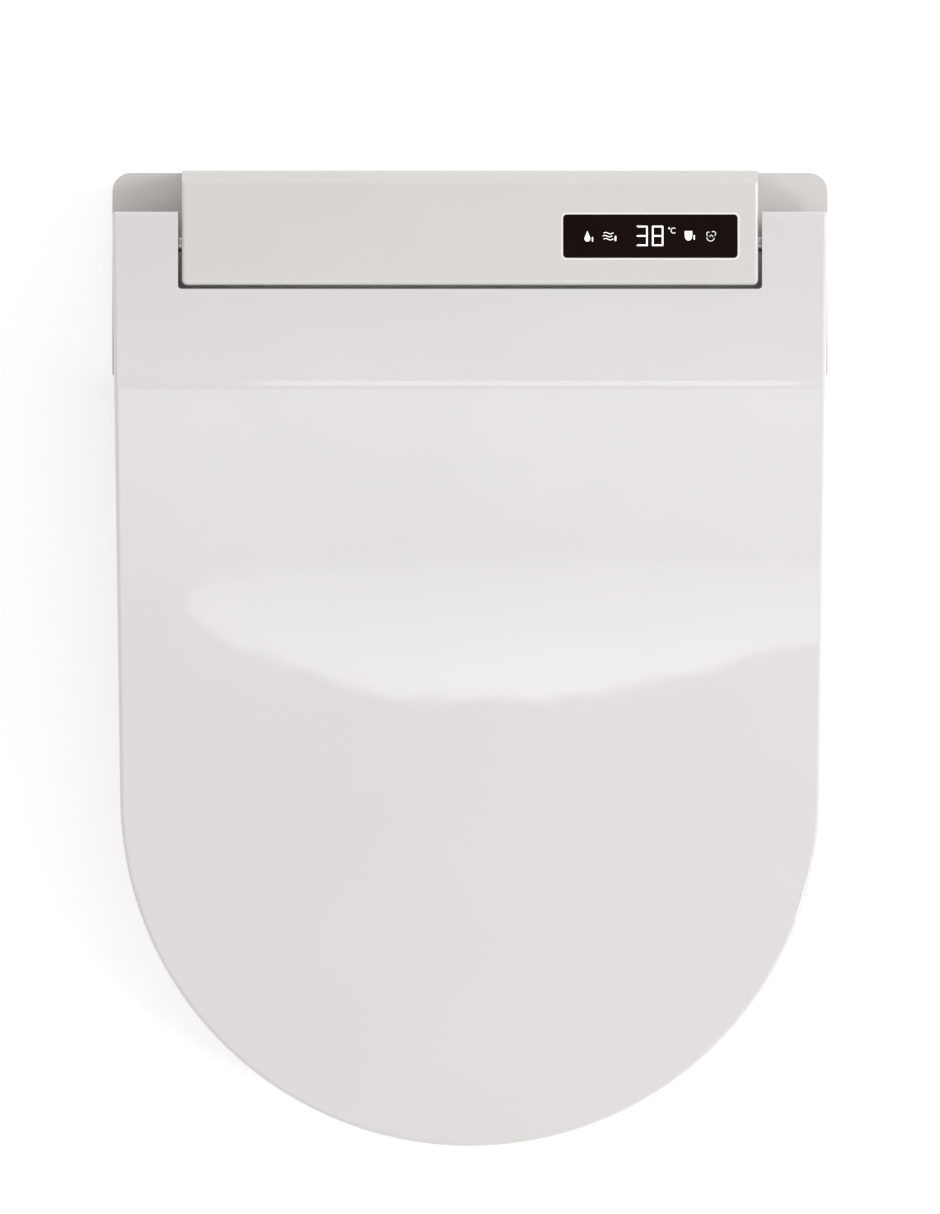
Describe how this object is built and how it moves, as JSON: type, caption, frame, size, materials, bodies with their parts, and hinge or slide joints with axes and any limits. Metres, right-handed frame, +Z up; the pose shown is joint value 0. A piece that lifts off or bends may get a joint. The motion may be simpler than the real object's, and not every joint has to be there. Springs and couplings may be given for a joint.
{
  "type": "electric bidet seat",
  "caption": "D-shaped electric bidet seat: sloping lid and heated seat on a rear housing with a display, nozzle, dryer and quick-release plate.",
  "frame": {"origin": "midway between the two mounting bolt slots, on the toilet's rim plane", "axes": "+Z up, -Y towards the front of the seat, +X to the sitter's left"},
  "size_m": [0.382, 0.52, 0.1],
  "materials": {
    "lid_white": "glossy warm white",
    "cover_white": "satin warm white",
    "seat_white": "glossy warm white",
    "base_white": "fine textured white",
    "window_black": "polished smoked black",
    "bezel_white": "glossy white",
    "display_white": "satin white",
    "board_green": "solder mask green",
    "pad_grey": "matt",
    "steel": "fine brushed",
    "damper_black": "matt black",
    "foil": "foil",
    "inner_grey": "matt grey",
    "inner_black": "matt black",
    "carbon": "granular black",
    "hose_clear": "milky silicone",
    "copper": "enamelled copper winding",
    "ceramic_rod": "unglazed",
    "mica": "layered mica",
    "power_yellow": "varnished tape"
  },
  "bodies": {
    "lid": {"lid_outer": "lid_white", "lid_inner": "lid_white", "lid_bumpers": "pad_grey", "lid_hinge_shaft": "steel"},
    "seat": {"seat_upper": "seat_white", "seat_lower": "seat_white", "seat_heater": "foil", "seat_bumpers": "pad_grey", "seat_arm_right": "seat_white", "seat_arm_left": "seat_white", "seat_hinge_shaft": "steel"},
    "housing": {"lid_damper": "damper_black", "seat_damper": "damper_black", "hinge_bushings": "inner_grey", "upper_cover": "cover_white", "display_bezel": "bezel_white", "display_window": "window_black", "display_module": "display_white", "display_board": "board_green", "lower_housing": "base_white", "base_pads": "pad_grey", "mounting_plate": "base_white", "cover_screws": "steel", "nozzle_guide": "inner_grey", "feed_tube": "steel", "nozzle_motor": "steel", "blower_housing": "inner_black", "blower_lid": "inner_black", "blower_motor": "steel", "dryer_duct": "inner_grey", "dryer_heater": "mica", "deodoriser_case": "inner_grey", "carbon_filter": "carbon", "deodoriser_fan_frame": "inner_black", "deodoriser_motor": "steel", "heater_tank": "inner_grey", "tank_cap": "inner_grey", "tank_elements": "ceramic_rod", "inlet_elbow": "inner_grey", "inlet_strainer": "steel", "inlet_valve": "inner_grey", "valve_coil": "copper", "flow_sensor": "inner_grey", "water_hoses": "hose_clear", "main_board": "board_green", "power_unit": "power_yellow", "board_capacitors": "inner_black", "display_cable": "inner_grey", "cord_gland": "inner_black"},
    "latch": {"release_latch": "base_white"},
    "wand": {"nozzle_wand": "steel", "nozzle_tip": "base_white", "wand_rack": "inner_grey"},
    "pinion": {"nozzle_pinion": "inner_black"},
    "impeller": {"blower_impeller": "inner_grey"},
    "flap": {"dryer_flap": "base_white"},
    "rotor": {"deodoriser_rotor": "inner_black"},
    "plunger": {"valve_plunger": "steel", "valve_spring": "steel"}
  },
  "joints": [
    {"name": "seat_hinge", "type": "hinge", "parent": "housing", "child": "seat", "pos_m": [0, 0.021, 0.083], "axis": [-1, 0, 0], "range_deg": [0, 95]},
    {"name": "lid_hinge", "type": "hinge", "parent": "seat", "child": "lid", "pos_m": [0, 0.021, 0.083], "axis": [1, 0, 0], "range_deg": [-100, 0]},
    {"name": "nozzle_slide", "type": "slide", "parent": "housing", "child": "wand", "axis": [0, -0.9659, -0.2588], "range_m": [0, 0.084]},
    {"name": "nozzle_pinion_spin", "type": "hinge", "parent": "housing", "child": "pinion", "pos_m": [0, 0.00237, 0.05096], "axis": [-1, 0, 0], "range_deg": [0, 690]},
    {"name": "blower_spin", "type": "hinge", "parent": "housing", "child": "impeller", "pos_m": [0.066, 0.012, 0.04], "axis": [0, 0, 1], "continuous": true},
    {"name": "deodoriser_spin", "type": "hinge", "parent": "housing", "child": "rotor", "pos_m": [-0.086, 0, 0.036], "axis": [0, 1, 0], "continuous": true},
    {"name": "flap_hinge", "type": "hinge", "parent": "housing", "child": "flap", "pos_m": [0.045, -0.109, 0.0165], "axis": [-1, 0, 0], "range_deg": [0, 70]},
    {"name": "plunger_lift", "type": "slide", "parent": "housing", "child": "plunger", "axis": [0, 0, 1], "range_m": [0, 0.003], "stiffness_N_per_m": 300, "springref_m": -0.002, "deforming": ["valve_spring"]},
    {"name": "latch_slide", "type": "slide", "parent": "housing", "child": "latch", "axis": [-1, 0, 0], "range_m": [0, 0.008], "stiffness_N_per_m": 400, "springref_m": -0.004}
  ],
  "couplings": [
    {"joint": "nozzle_pinion_spin", "follows": "nozzle_slide", "rad_per_m": 142.86}
  ]
}
